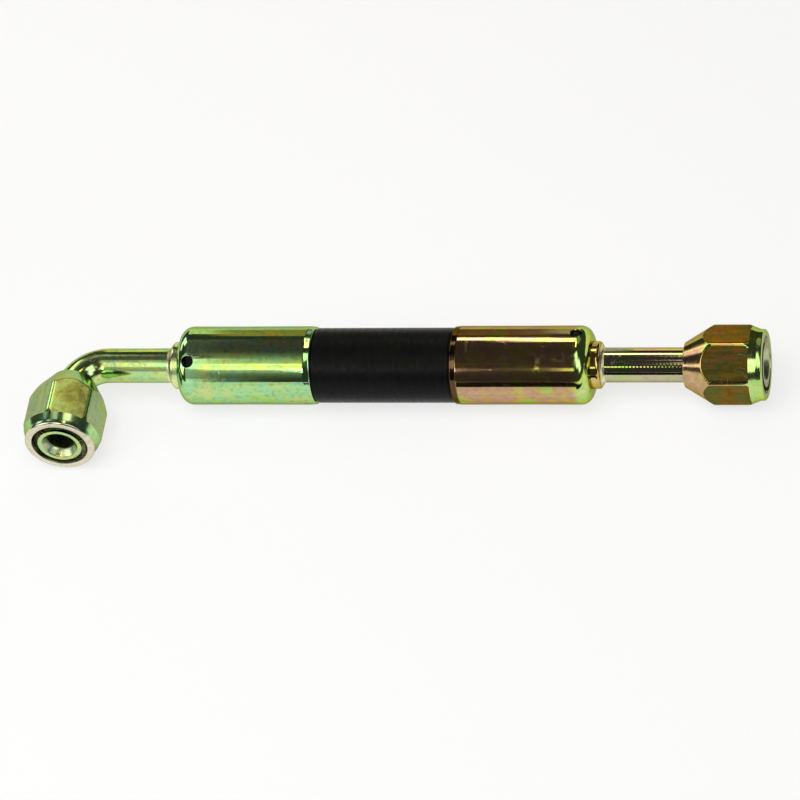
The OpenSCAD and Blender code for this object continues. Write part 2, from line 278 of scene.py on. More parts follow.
# %% Dark cards on the floor
SIDE_SHIFT = TO_CAMERA.x / math.hypot(TO_CAMERA.y, TO_CAMERA.z)
CARD_LEN = 3
CARD_LIFT = 0.2 * MM
BLACK = (0.01, 0.01, 0.01, 1)
black_paper, _, black_shader = new_material("black_paper")
black_shader.inputs["Base Color"].default_value = BLACK
black_shader.inputs["Roughness"].default_value = 1
black_shader.inputs["Specular IOR Level"].default_value = 0


def floor_card(name, first, last, near):
    """Black paper that the metal from first to last mirrors. Near is how far in front of the axis it starts, in mm."""
    width, start = (last - first) * MM, axis_y - near * MM
    middle_x = (first + last) / 2 * MM - SIDE_SHIFT * (CARD_LEN / 2 - start)
    leaning = Matrix(((width, SIDE_SHIFT * CARD_LEN, 0, middle_x), (0, CARD_LEN, 0, start - CARD_LEN / 2),
                      (0, 0, 1, CARD_LIFT), (0, 0, 0, 1)))
    card = lay_sheet(name, black_paper, 0.5, leaning)
    card.visible_camera = card.visible_diffuse = card.visible_shadow = False


floor_card("ferrule_floor_card", 12, 57, 54)
floor_card("nut_floor_card", 57, 106, 38)

# %% [markdown]
# ## Lamps
# A long round part mirrors a lamp as a line along itself. Where the line lies round the part depends on how high the
# lamp hangs, so most lamps are placed by their angle round the hose's axis. Blender spreads a flat lamp's watts over
# four times its area, so four watts to the square metre look like a white wall.

# %% Hang a lamp
WHITE_WALL = 4
WHITE = (1, 1, 1)


def lamp(name, position, size, brightness, aim_at, tint=WHITE, mirrored=True):
    """A flat lamp that faces a point. Its brightness is what the metal sees, where 1 is a white wall."""
    light = bpy.data.lights.new(name, "AREA")
    light.shape = "RECTANGLE"
    light.size, light.size_y = size
    light.energy = brightness * size[0] * size[1] * WHITE_WALL
    light.color = tint
    made = bpy.data.objects.new(name, light)
    made.location = position
    made.rotation_euler = (Vector(position) - Vector(aim_at)).to_track_quat("Z", "Y").to_euler()
    made.visible_camera = False
    made.visible_glossy = mirrored
    bpy.context.scene.collection.objects.link(made)


hose_middle = (0, axis_y, axis_z)
lamp("broad_lamp", (-0.15, -0.25, 1.1), (0.9, 0.7), 3.6, hose_middle, mirrored=False)
print("broad lamp hung")

# %% Lamps along the hose's axis
LAMP_DISTANCE = 0.4
FADE_TINT = (1, 0.9, 0.57)
FADE_POWER = 1.5


def strip(name, first, last, low, high, brightness, tint=WHITE):
    """A lamp from the angle low to high round the hose's axis: 0 is in front, 90 overhead and 180 behind.

    Its image runs roughly from first to last along the axis, in mm. Because the camera stands to the right, the lamp
    stands further to the left than its image.
    """
    x = (first + last) / 2 * MM - LAMP_DISTANCE * SIDE_SHIFT
    angle = math.radians((low + high) / 2)
    position = (x, axis_y - LAMP_DISTANCE * math.cos(angle), axis_z + LAMP_DISTANCE * math.sin(angle))
    size = ((last - first) * MM, 2 * LAMP_DISTANCE * math.tan(math.radians(high - low) / 2))
    lamp(name, position, size, brightness, (x, axis_y, axis_z), tint)


def fade(name, first, last, angles, brightest):
    """Strips side by side that get dimmer from the first angle to the last."""
    for i, (start, end) in enumerate(zip(angles, angles[1:])):
        level = brightest * (1 - i / (len(angles) - 1)) ** FADE_POWER
        strip("%s_%d" % (name, i), first, last, min(start, end), max(start, end), level, FADE_TINT)


print("lamps along the axis hang %.0f mm from it" % (LAMP_DISTANCE / MM))

# %% Lamps for the elbow end's tube and ferrule
ELBOW_TUBE = (-112, -62)
ELBOW_FERRULE = (-62, -20)
strip("elbow_tube_line", *ELBOW_TUBE, 41, 70, 1.15, (1, 1, 0.92))
strip("elbow_tube_low", *ELBOW_TUBE, 11, 41, 0.36)
strip("elbow_tube_rise", *ELBOW_TUBE, 0, 11, 0.85)
strip("elbow_tube_back", *ELBOW_TUBE, 156, 181, 0.8, (1, 0.95, 0.5))
strip("elbow_tube_dusk", *ELBOW_TUBE, 80, 132, 0.07, (1, 0.75, 0.9))
strip("elbow_ferrule_line", -62, 3, 37, 55, 1.75, (1, 0.8, 0.36))
fade("elbow_ferrule_rise", *ELBOW_FERRULE, (55, 60, 65, 70, 75, 80, 86, 92), 0.62)
fade("elbow_ferrule_fall", *ELBOW_FERRULE, (37, 33, 29, 24, 18, 12), 0.36)
strip("elbow_ferrule_dusk", *ELBOW_FERRULE, 92, 130, 0.03, (1, 0.25, 0.7))
strip("elbow_ferrule_back", *ELBOW_FERRULE, 146, 179, 0.36, (1, 0.56, 0.1))

# %% Cards for the elbow end's shoulder, nut and bore
outlet_face = (outlet_x, outlet_face_y, axis_z)
lamp("elbow_shoulder_card", (-0.42, -0.22, 0.29), (0.32, 0.36), 1.7, (-0.06, axis_y, axis_z))
lamp("elbow_nut_corner", (-0.277, 0.24, 0.263), (0.12, 0.22), 1.5, outlet_face, (1, 1, 0.85))
lamp("outlet_card", (0.16, 0.487, 0.585), (0.35, 0.35), 0.21, outlet_face, (1, 1, 0.9))
lamp("outlet_cone_card", (-0.122, -0.027, 0.165), (0.045, 0.045), 0.5, outlet_face)

# %% Lamps for the hose and the straight end's ferrule and tube
STRAIGHT_FERRULE = (16, 54)
strip("hose_line", -19, 0, 30, 40, 18)
strip("straight_ferrule_line", *STRAIGHT_FERRULE, 127, 137, 2.8, (1, 0.97, 0.85))
strip("straight_ferrule_back", *STRAIGHT_FERRULE, 146, 176, 0.12, (1, 0.65, 0.1))
strip("straight_tube_line", 46, 105, 121, 134, 2.4, (1, 1, 0.8))
strip("straight_tube_back", 54, 80, 152, 179, 0.45, (0.85, 0.97, 1))
strip("straight_tube_dots", 60, 86, 33, 41, 1.6, (0.85, 1, 0.4))

# %% Lamps for the straight end's nut and shoulder
straight_shoulder = (0.052, axis_y, axis_z)
strip("straight_nut_card", 101, 125, 49, 66, 1.1, (1, 0.86, 0.55))
strip("straight_nut_corner", 106, 138, 103, 121, 4.5, (1, 0.75, 0.4))
strip("straight_nut_back", 82, 130, 161, 181, 1.2, (1, 0.62, 0.3))
lamp("straight_cone_card", (-0.445, 0.224, 0.198), (0.16, 0.14), 1.3, (0.085, axis_y, axis_z), (1, 0.92, 0.88))
lamp("straight_shoulder_card", (0.36, -0.25, 0.31), (0.18, 0.30), 1.5, straight_shoulder)
lamp("straight_dome_card", (0.14, -0.16, 0.374), (0.16, 0.36), 1.4, straight_shoulder)

# %% [markdown]
# ## Yellow zinc plating
# The steel is zinc plated and then passivated, which leaves a film with drifting colours: mint and lime on the elbow
# end, gold, beige and pink on the straight end. The colours come from broad noise, small dull spots from fine noise,
# and long scratches from noise that is stretched along the part. Edges rub bright, which pointiness picks out. Where
# the part was handled it has a few hairline scratches, which are the contour lines of a smooth noise.

# %% Patterns on the metal
ACROSS_SCALE = 900
ALONG_SCALE = 45
HAIR_SCALE = 130
HANDLED_SCALE = 110


def patches(tree, where, scale, detail, roughness=0.5, distortion=0):
    """Cloudy noise. The scale says how many clouds lie in a metre."""
    made = node(tree, "TexNoise", Vector=where, Scale=scale, Detail=detail, Roughness=roughness,
                Distortion=distortion)
    return made.outputs["Fac"]


def streaks(tree, where, along):
    """Noise that is drawn out along one axis, as the marks of drawing and turning are."""
    stretch = [ACROSS_SCALE] * 3
    stretch["XYZ".index(along)] = ALONG_SCALE
    run = node(tree, "Mapping", Vector=where, Scale=stretch)
    return patches(tree, run.outputs["Vector"], 1, 3, roughness=0.6)


def hairlines(tree, where):
    """1 on a few thin curved lines and 0 between them."""
    curl = patches(tree, where, HAIR_SCALE, 1, roughness=0.4, distortion=1)
    line = ramp(tree, curl, (0.49, "000000"), (0.5, "FFFFFF"), (0.51, "000000"))
    handled = patches(tree, where, HANDLED_SCALE, 0)
    return reckon(tree, "MULTIPLY", line, scale_to(tree, handled, 0.48, 0.6, 0, 1))


def drift_along(tree, where, axis, start, end):
    """0 before start and 1 after end, along one axis."""
    parts = node(tree, "SeparateXYZ", Vector=where)
    made = node(tree, "MapRange", {"interpolation_type": "SMOOTHSTEP"}, Value=parts.outputs[axis],
                From_Min=start, From_Max=end)
    return made.outputs["Result"]


print("a streak is %d times as long as it is wide" % (ACROSS_SCALE / ALONG_SCALE))

# %% Fine relief
STREAK_RELIEF, STREAK_DEPTH = 0.06, 0.02 * MM
GRAIN_DEPTH = 0.03 * MM


def bump(tree, height, strength, depth, below=None):
    """Relief too fine for the mesh. It can lie on top of another one."""
    made = node(tree, "Bump", Height=height, Strength=strength, Distance=depth)
    if below is not None:
        plug(tree, made.inputs["Normal"], below)
    return made.outputs["Normal"]


print("streaks %.0f um deep, grain %.0f um deep" % (STREAK_DEPTH / MM * 1000, GRAIN_DEPTH / MM * 1000))

# %% Plating recipe
SPOT_SCALE = 700
RUBBED = "E9E6C8"
STREAK_SHOWS = 0.2
WEAR_SHOWS = 0.6
SCRATCH_SHOWS = 0.15
SCRATCH_DULLS = 0.13


def plating(name, along, film, spots, gloss=(0.06, 0.13), film_scale=150, far_film=None, far=("X", 0, 1),
            graze=(0.5, 0.48, 0.3, 1), mottle=0.25, peel=0.08, mouth=None):
    """Plated steel.

    along: the axis that the streaks follow. film: a row of colours. spots: the colour of dull spots and streaks.
    gloss: the roughness from the brightest streak to the dullest. film_scale: how many patches lie in a metre.
    far_film, far: a second film, and the axis, start and end of the drift to it. mouth: the axis, start and end of a
    painted shade that darkens the end to the spots' colour.
    graze: the tint of grazing reflections. mottle, peel: how strong the dull spots and the grain are.
    """
    material, tree, shader = new_material(name)
    where = node(tree, "TexCoord").outputs["Object"]
    broad = patches(tree, where, film_scale, 1.5, distortion=0.5)
    fine = patches(tree, where, SPOT_SCALE, 5, roughness=0.65)
    streak = streaks(tree, where, along)
    scratch = hairlines(tree, where)
    wear = node(tree, "NewGeometry").outputs["Pointiness"]

    base = ramp(tree, broad, *film)
    if far_film:
        base = blend(tree, drift_along(tree, where, *far), base, ramp(tree, broad, *far_film))
    base = blend(tree, scale_to(tree, fine, 0.5, 0.75, 0, mottle), base, colour(spots))
    base = blend(tree, scale_to(tree, streak, 0.45, 0.75, 0, STREAK_SHOWS), base, colour(spots))
    base = blend(tree, scale_to(tree, wear, 0.53, 0.62, 0, WEAR_SHOWS), base, colour(RUBBED))
    # Painted shade: towards the mouth end the film is darkened to the colour of the spots.
    if mouth:
        base = blend(tree, drift_along(tree, where, *mouth), base, colour(spots))
    base = blend(tree, reckon(tree, "MULTIPLY", scratch, SCRATCH_SHOWS), base, colour(RUBBED))
    plug(tree, shader.inputs["Base Color"], base)

    sheen = scale_to(tree, streak, 0.3, 0.7, *gloss)
    dulled = reckon(tree, "MULTIPLY", scratch, SCRATCH_DULLS)
    plug(tree, shader.inputs["Roughness"], reckon(tree, "ADD", sheen, dulled))
    shader.inputs["Metallic"].default_value = 1
    shader.inputs["Specular Tint"].default_value = graze
    streak_relief = bump(tree, streak, STREAK_RELIEF, STREAK_DEPTH)
    plug(tree, shader.inputs["Normal"], bump(tree, fine, peel, GRAIN_DEPTH, streak_relief))
    return material


print("plating recipe ready")

# %% [markdown]
# ## Films
# A film is a row of colours, from the lowest values of the broad noise to its highest. The two ends come from different
# baths, so one is greener and the other more golden. The flats of the nuts keep the rolled skin of the bar, which takes
# a darker film. Bores and threads get less of it, because the bath hardly moves in there.

# %% Films of the elbow end
GREEN_FILM = ((0.30, "C8D68A"), (0.42, "B2DA8E"), (0.50, "A8DA94"), (0.58, "A2DAA6"), (0.70, "B0DC84"))
TUBE_GREEN_FILM = ((0.32, "D2DE80"), (0.45, "C2E08A"), (0.55, "BCDC94"), (0.68, "AEDC98"))
COLLAR_GREEN_FILM = ((0.32, "E6EA9A"), (0.45, "D6EA9C"), (0.55, "CEE8A4"), (0.68, "E6E6AC"))
WORN_FILM = ((0.32, "E4E0C8"), (0.45, "E2D6C0"), (0.55, "DCE2C4"), (0.68, "E0CEC0"))
ROLLED_GREEN_FILM = ((0.32, "7C7A3E"), (0.44, "969C52"), (0.55, "90A45E"), (0.68, "8E8852"))
PALE_ROLLED_FILM = ((0.32, "A8BA78"), (0.45, "ACC07E"), (0.55, "9FB68A"), (0.68, "ACB890"))
print("colours in the green film:", len(GREEN_FILM))

# %% Films of the straight end
LIME_FILM = ((0.32, "D2DC6E"), (0.44, "C0E072"), (0.54, "B0DC80"), (0.66, "CEDB86"))
GOLD_FILM = ((0.32, "AEC064"), (0.41, "C8AE6A"), (0.49, "C4A474"), (0.57, "C29C86"), (0.68, "C8B070"))
TUBE_GOLD_FILM = ((0.32, "B4C480"), (0.45, "C0BC98"), (0.55, "BEB698"), (0.68, "C4AE9A"))
COLLAR_GOLD_FILM = ((0.32, "DCCC72"), (0.45, "CCA84E"), (0.55, "D2B868"), (0.68, "C6C276"))
ROLLED_GOLD_FILM = ((0.32, "7C5A26"), (0.43, "74602C"), (0.52, "68622E"), (0.60, "5C6034"), (0.70, "74563A"))
print("colours in the gold film:", len(GOLD_FILM))

# %% Films of bores and threads
BORE_FILM = ((0.32, "C8CC98"), (0.45, "BAC89C"), (0.55, "B0C2A4"), (0.68, "C4C2A2"))
THREAD_FILM = ((0.32, "B0AA86"), (0.45, "A2A288"), (0.55, "98A08C"), (0.68, "ACA68C"))
print("colours in the bore's film:", len(BORE_FILM))

# %% Platings of the elbow end
SOFT_GRAZE = (0.6, 0.58, 0.45, 1)
NUT_PATCHES = 170
ROLLED_PATCHES = 190
ROLLED_GLOSS = (0.13, 0.24)
worn_face = ("Y", outlet_face_y + 0.3 * MM, outlet_face_y + 0.9 * MM)
green_plating = plating("green_plating", "X", GREEN_FILM, "5E6040", mottle=0.45, peel=0.15)
green_collar = plating("green_collar", "X", COLLAR_GREEN_FILM, "8A8C58", (0.16, 0.26), graze=SOFT_GRAZE)
green_tube_plating = plating("green_tube_plating", "X", TUBE_GREEN_FILM, "5E6038", (0.1, 0.19), mottle=0.45,
                             peel=0.15)
green_nut_plating = plating("green_nut_plating", "Y", WORN_FILM, "8A7A60", (0.13, 0.22), NUT_PATCHES,
                            far_film=GREEN_FILM, far=worn_face)
# green_rolled is a darker copy of pale_rolled. On the elbow nut it goes on the flat that faces up, as painted shade.
green_rolled = plating("green_rolled", "Y", ROLLED_GREEN_FILM, "4E4420", ROLLED_GLOSS, ROLLED_PATCHES,
                       graze=SOFT_GRAZE, mottle=0.6)
pale_rolled = plating("pale_rolled", "Y", PALE_ROLLED_FILM, "7A8050", ROLLED_GLOSS, ROLLED_PATCHES,
                      graze=SOFT_GRAZE, mottle=0.4)
print("materials so far:", len(bpy.data.materials))

# %% Platings of the straight end
mouth_x, shoulder_x = (corner.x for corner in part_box("straight_ferrule"))
# Painted shade: within 1.5 mm of the straight ferrule's mouth the film is darkened to its spots' colour, fading out by
# 2.1 mm.
painted_mouth_shade = ("X", mouth_x + 2.1 * MM, mouth_x + 1.5 * MM)
lime_shoulder = ("X", shoulder_x - 5 * MM, shoulder_x - 2 * MM)
lime_face = ("X", straight_face_x - 9 * MM, straight_face_x - 3 * MM)
gold_plating = plating("gold_plating", "X", GOLD_FILM, "5A4630", (0.07, 0.13), far_film=LIME_FILM,
                       far=lime_shoulder, mouth=painted_mouth_shade)
gold_collar = plating("gold_collar", "X", COLLAR_GOLD_FILM, "5A4020")
gold_tube_plating = plating("gold_tube_plating", "X", TUBE_GOLD_FILM, "6A6038", (0.05, 0.1))
gold_nut_plating = plating("gold_nut_plating", "X", GOLD_FILM, "5A4630", (0.08, 0.17), NUT_PATCHES,
                           far_film=LIME_FILM, far=lime_face)
gold_rolled = plating("gold_rolled", "X", ROLLED_GOLD_FILM, "3A2A16", ROLLED_GLOSS, ROLLED_PATCHES,
                      graze=SOFT_GRAZE, mottle=0.6)
print("materials so far:", len(bpy.data.materials))

# %% Platings of bores, threads and sleeves
thread_plating = plating("thread_plating", "X", THREAD_FILM, "6A6450", (0.2, 0.32), graze=SOFT_GRAZE)
bore_plating = plating("bore_plating", "X", BORE_FILM, "6A6450", (0.24, 0.34), graze=SOFT_GRAZE)
sleeve_plating = plating("sleeve_plating", "X", TUBE_GOLD_FILM, "77704A", (0.18, 0.3))
print("materials so far:", len(bpy.data.materials))

# %% [markdown]
# ## Rubber, braze and wire
# The cover is black rubber that was cured inside a tight wrap of cloth tape, which leaves fine rings in it. The braze
# is a pale brass fillet. The spiral plies are brassed steel wire and lie under the cover, out of sight.

# %% Rubber
COVER_RINGS = 2600
TUBE_RINGS = 300
ROUND_SCALE = 60
DUST_SCALE = 260


def rubber(name, base, ring_scale):
    material, tree, shader = new_material(name)
    where = node(tree, "TexCoord").outputs["Object"]
    run = node(tree, "Mapping", Vector=where, Scale=(ring_scale, ROUND_SCALE, ROUND_SCALE))
    rings = patches(tree, run.outputs["Vector"], 1, 4, roughness=0.6)
    dust = patches(tree, where, DUST_SCALE, 5)
    plug(tree, shader.inputs["Base Color"], ramp(tree, dust, (0.3, base), (0.75, "0C0E0D")))
    plug(tree, shader.inputs["Roughness"], scale_to(tree, rings, 0.3, 0.7, 0.3, 0.42))
    shader.inputs["Specular IOR Level"].default_value = 0.1
    plug(tree, shader.inputs["Normal"], bump(tree, rings, 0.4, 0.06 * MM))
    return material


cover_rubber = rubber("cover_rubber", "070808", COVER_RINGS)
inner_rubber = rubber("inner_rubber", "0E0F0F", TUBE_RINGS)
print("rubbers made")

# %% Wire and braze
WIRE_LAY = 0.95
WIRE_SCALE = 420
BRAZE_FILM = ((0.35, "F2EDD2"), (0.5, "E6E4B4"), (0.65, "D9CF9A"))


def wire_lay():
    material, tree, shader = new_material("brassed_wire")
    where = node(tree, "TexCoord").outputs["Object"]
    turned = node(tree, "Mapping", Vector=where, Rotation=(0, 0, WIRE_LAY)).outputs["Vector"]
    strands = node(tree, "TexWave", {"bands_direction": "X"}, Vector=turned, Scale=WIRE_SCALE,
                   Distortion=0.2).outputs["Fac"]
    plug(tree, shader.inputs["Base Color"], ramp(tree, strands, (0.1, "6E5B35"), (0.8, "C9B37A")))
    shader.inputs["Metallic"].default_value = 1
    shader.inputs["Roughness"].default_value = 0.35
    plug(tree, shader.inputs["Normal"], bump(tree, strands, 0.5, 0.1 * MM))
    return material


brassed_wire = wire_lay()
braze_metal = plating("braze_metal", "X", BRAZE_FILM, "C9BF94", (0.3, 0.44), 300)
print("wire and braze made")

# %% [markdown]
# ## How the pieces are turned
# Almost every part here came off a lathe, so it starts as half a section and is spun round its axis. Sharp corners are
# then rounded by bevelling the ring of edges that the spin left at that corner.

# %% Spin a section
MERGE = 1e-7


def lathe(section, steps):
    """Spins a closed section, given as (radius, distance along the axis) in metres, round Z."""
    bm = bmesh.new()
    corners = [bm.verts.new((radius, 0, along)) for radius, along in section]
    sides = [bm.edges.new(pair) for pair in zip(corners, corners[1:] + corners[:1])]
    bmesh.ops.spin(bm, geom=corners + sides, cent=(0, 0, 0), axis=(0, 0, 1), angle=TURN, steps=steps,
                   use_merge=True)
    bmesh.ops.remove_doubles(bm, verts=bm.verts, dist=MERGE)
    bmesh.ops.recalc_face_normals(bm, faces=bm.faces)
    return bm


print("lathe ready")

# %% Round a corner
ON_RING = 1e-6


def ring_edges(bm, radius, along):
    def on_ring(v):
        return abs(math.hypot(v.co.x, v.co.y) - radius) < ON_RING and abs(v.co.z - along) < ON_RING

    return [e for e in bm.edges if on_ring(e.verts[0]) and on_ring(e.verts[1])]


def soften(bm, radius, along, offset, segments):
    edges = ring_edges(bm, radius, along)
    bmesh.ops.bevel(bm, geom=edges, offset=offset, segments=segments, affect="EDGES", profile=0.5, material=-1)


def draw_out(v, factor):
    """Moves a point straight away from the axis, or towards it where the factor is under 1."""
    v.co.x *= factor
    v.co.y *= factor


print("corners can be rounded")

# %% Finish a piece
SHARP = 38


def finish_piece(bm, name, body, replaced, material, move, sharp=SHARP):
    """Turns a bmesh into a named piece that rides on its body and stands for a solid."""
    bmesh.ops.transform(bm, matrix=move, verts=bm.verts)
    mesh = bpy.data.meshes.new(name)
    bm.to_mesh(mesh)
    bm.free()
    mesh.materials.append(material)
    mesh.shade_smooth()
    mesh.set_sharp_from_angle(angle=math.radians(sharp))
    piece = bpy.data.objects.new(name, mesh)
    bpy.context.scene.collection.objects.link(piece)
    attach(piece, body)
    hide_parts(replaced)
    print(name, len(mesh.polygons), "faces")
    return piece


# %% [markdown]
# ## Flared tubes
# Both tubes are cold drawn, bent and flared. A tube is one skin: it starts in the collar's socket, runs outside to the
# flare, turns over the rim and comes back through the bore. Each step copies the last ring of edges and moves it, and
# the last ring is bridged to the first. The drawing leaves faint ripples that make the bright lines waver a little.

# %% Sweep a ring of edges through stations
SIDES = 72


def sweep(stations, bore_start):
    """Carries a circle through (matrix, radius) stations and closes the end on the start.

    From the station bore_start on, the faces get the second material.
    """
    bm = bmesh.new()
    where, radius = stations[0]
    now = where @ Matrix.Scale(radius, 4)
    start = bmesh.ops.create_circle(bm, cap_ends=False, segments=SIDES, radius=1, matrix=now)["verts"]
    loop = first = list({e for v in start for e in v.link_edges})
    for number, (where, radius) in enumerate(stations[1:]):
        new = where @ Matrix.Scale(radius, 4)
        made = bmesh.ops.extrude_edge_only(bm, edges=loop)["geom"]
        verts = [g for g in made if isinstance(g, bmesh.types.BMVert)]
        loop = [g for g in made if isinstance(g, bmesh.types.BMEdge) and all(v in verts for v in g.verts)]
        bmesh.ops.transform(bm, matrix=new @ now.inverted(), verts=verts)
        for face in [g for g in made if isinstance(g, bmesh.types.BMFace)]:
            face.material_index = 1 if number >= bore_start else 0
        now = new
    bmesh.ops.bridge_loops(bm, edges=first + loop)
    bmesh.ops.recalc_face_normals(bm, faces=bm.faces)
    return bm


print("a tube has", SIDES, "sides")

# %% Sizes of the tubes and flares
tube_low, tube_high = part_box("straight_tube")
TUBE_R = 4.765 * MM
BORE_R = 3.525 * MM
FLARE_SLOPE = math.tan(math.radians(37))
FLARE_LIP = 1.1 * MM
FLARE_R = (tube_high.z - tube_low.z) / 2
FLARE_LEN = (FLARE_R - TUBE_R) / FLARE_SLOPE
CONE_R = FLARE_R - FLARE_LIP
CONE_LEN = (CONE_R - BORE_R) / FLARE_SLOPE
SOCKET_END = 3.78 * MM
print("flare %.2f mm across" % (2 * FLARE_R / MM))


# %% Stations of a flared end
def along(z):
    return Matrix.Translation((0, 0, z))


def flare_outside():
    """From the root of the flare to its rim, with the rim's corners rounded."""
    round_off = 0.12 * MM
    run = [(FLARE_LEN + 0.4 * MM, TUBE_R), (FLARE_LEN + 0.05 * MM, TUBE_R + 0.005 * MM)]
    run += [(FLARE_LEN * part, TUBE_R + (FLARE_R - TUBE_R) * (1 - part)) for part in (0.97, 0.85, 0.6, 0.3)]
    run += [(round_off, FLARE_R - 0.1 * MM), (round_off / 3, FLARE_R - 0.06 * MM), (0, FLARE_R - round_off)]
    return [(along(z), r) for z, r in run]


def flare_inside():
    """From the rim down the cone into the bore."""
    run = [(0, (FLARE_R + CONE_R) / 2), (0, CONE_R + 0.08 * MM), (0.04 * MM, CONE_R - 0.01 * MM)]
    run += [(CONE_LEN * part, CONE_R + (BORE_R - CONE_R) * part) for part in (0.15, 0.4, 0.7, 0.95)]
    run += [(CONE_LEN + 0.25 * MM, BORE_R)]
    return [(along(z), r) for z, r in run]


print("stations of a flare:", len(flare_outside() + flare_inside()))

# %% Stations of the drawn tube behind it
RIPPLE = 0.0006 * MM
RIPPLE_PITCH = 1.25 * MM
DRIFT_SCALE = 900
STATION = 0.14 * MM
BORE_STATION = 2 * MM
BEHIND_FLARE = 0.8 * MM


def drawn_radius(z):
    drift = noise.noise(Vector((0, 0, z * DRIFT_SCALE))) + 1
    return TUBE_R - RIPPLE * (1 + math.sin(TURN * z / RIPPLE_PITCH)) * drift / 2


def straight_run(start, end, inside=False):
    count = max(2, round(abs(end - start) / (BORE_STATION if inside else STATION)))
    heights = [start + (end - start) * i / count for i in range(count + 1)]
    return [(along(z), BORE_R if inside else drawn_radius(z)) for z in heights]


print("ripples %.1f um deep" % (RIPPLE / MM * 1000))

# %% [markdown]
# ## Straight tube
# Before it was cut to length, the straight tube ran through feed rolls with a knurl, which left a row of shallow marks
# along one side. A bright line that falls on them breaks up into dots. The marks are pressed into the finished skin,
# because a real dent keeps its look in every light.

# %% Press the roll marks
MARK_PITCH = 0.98 * MM
MARK_DEPTH = 0.009 * MM
MARK_SIDE = math.radians(-46)
MARK_HALF_WIDTH = math.radians(9)
MARK_START = FLARE_LEN + 2 * MM
ON_SKIN = 0.02 * MM


def press_roll_marks(bm):
    """A row of shallow dents along one side, as the rolls that feed a tube leave them."""
    for v in bm.verts:
        radius = math.hypot(v.co.x, v.co.y)
        away = (math.atan2(v.co.y, v.co.x) - MARK_SIDE + math.pi) % TURN - math.pi
        if abs(radius - TUBE_R) > ON_SKIN or v.co.z < MARK_START or abs(away) > MARK_HALF_WIDTH:
            continue
        share = (1 - (away / MARK_HALF_WIDTH) ** 2) ** 2
        dent = MARK_DEPTH * share * (1 - math.cos(TURN * v.co.z / MARK_PITCH)) / 2
        draw_out(v, 1 - dent / radius)


print("marks every %.2f mm" % (MARK_PITCH / MM))

# %% Make the straight tube
straight_end = straight_face_x - straight_collar_x + SOCKET_END
outer = straight_run(straight_end, FLARE_LEN + BEHIND_FLARE) + flare_outside()
inner = flare_inside() + straight_run(CONE_LEN + 0.6 * MM, straight_end, inside=True)
tube_skin = sweep(outer + inner, len(outer) + 2)
press_roll_marks(tube_skin)
straight_tube = finish_piece(tube_skin, "straight_tube_drawn", "hose_and_ends", "straight_tube",
                             gold_tube_plating, at_straight_face)
straight_tube.data.materials.append(bore_plating)

# %% [markdown]
# ## Elbow tube
# The elbow's tube was bent round a die and then flared. It is the same skin as the straight one, but its stations
# follow the bend: down the outlet, round the die's radius, and on along the hose's axis.

# %% Stations round the bend
BEND_R = 9.3 * MM
BEND_ARC = BEND_R * math.pi / 2
bend_start = axis_y - outlet_face_y - BEND_R
bend_centre = Vector((BEND_R, 0, bend_start))
elbow_end = bend_start + BEND_ARC + (elbow_collar_x - outlet_x - BEND_R + SOCKET_END)


def through_bend(z_along):
    """The frame at a distance from the flared face, on through the bend and along the hose's axis."""
    if z_along <= bend_start:
        return along(z_along)
    angle = min(z_along - bend_start, BEND_ARC) / BEND_R
    turned = (Matrix.Translation(bend_centre) @ Matrix.Rotation(angle, 4, "Y")
              @ Matrix.Translation((-BEND_R, 0, 0)))
    return turned @ along(max(0, z_along - bend_start - BEND_ARC))


print("the tube is %.1f mm long before it is bent" % (elbow_end / MM))

# %% Make the elbow tube
BORE_STEPS = 60
BORE_FIRST = 0.02
outer = [(through_bend(m.translation.z), r) for m, r in straight_run(elbow_end, FLARE_LEN + BEHIND_FLARE)]
outer += flare_outside()
shares = [BORE_FIRST + (1 - BORE_FIRST) * i / BORE_STEPS for i in range(BORE_STEPS + 1)]
inner = [(through_bend(elbow_end * share), BORE_R) for share in shares]
inner = flare_inside() + [s for s in inner if s[0].translation.z > CONE_LEN + 0.5 * MM or s[0].translation.x > 0]
elbow_tube = finish_piece(sweep(outer + inner, len(outer) + 2), "elbow_tube_drawn", "hose_and_ends", "elbow_tube",
                          green_tube_plating, at_outlet_face)
elbow_tube.data.materials.append(bore_plating)

# %% [markdown]
# ## Ferrules
# A ferrule is a cup drawn from steel and pressed onto the hose. It has a rounded shoulder, an inturned end that grips
# the stem's neck, two witness holes through which the fitter sees that the hose is home, and a rim that the dies
# leave slightly drawn in. The cup is spun, its shoulder rounded by a bevel, and the holes are cut by a boolean.

# %% Sizes of a ferrule
ferrule_low, ferrule_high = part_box("straight_ferrule")
FERRULE_R = (ferrule_high.z - ferrule_low.z) / 2
FERRULE_LEN = ferrule_high.x - ferrule_low.x
FERRULE_WALL = 0.94 * MM
FERRULE_BORE_R = FERRULE_R - FERRULE_WALL
FERRULE_EYE_R = 5.71 * MM
FERRULE_END = 1.4 * MM
SHOULDER = 3.3 * MM
COLLAR_LEN = 2.6 * MM
print("ferrule %.1f mm across and %.1f mm long" % (2 * FERRULE_R / MM, FERRULE_LEN / MM))

# %% Spin the cup
CRIMP_START = SHOULDER + 1 * MM
CRIMP_LEN = 28 * MM
CRIMP_DEPTH = 0.035 * MM
CRIMP_STEPS = 12
CUP_SIDES = 160
OUTER_ROUND, INNER_ROUND = 14, 8


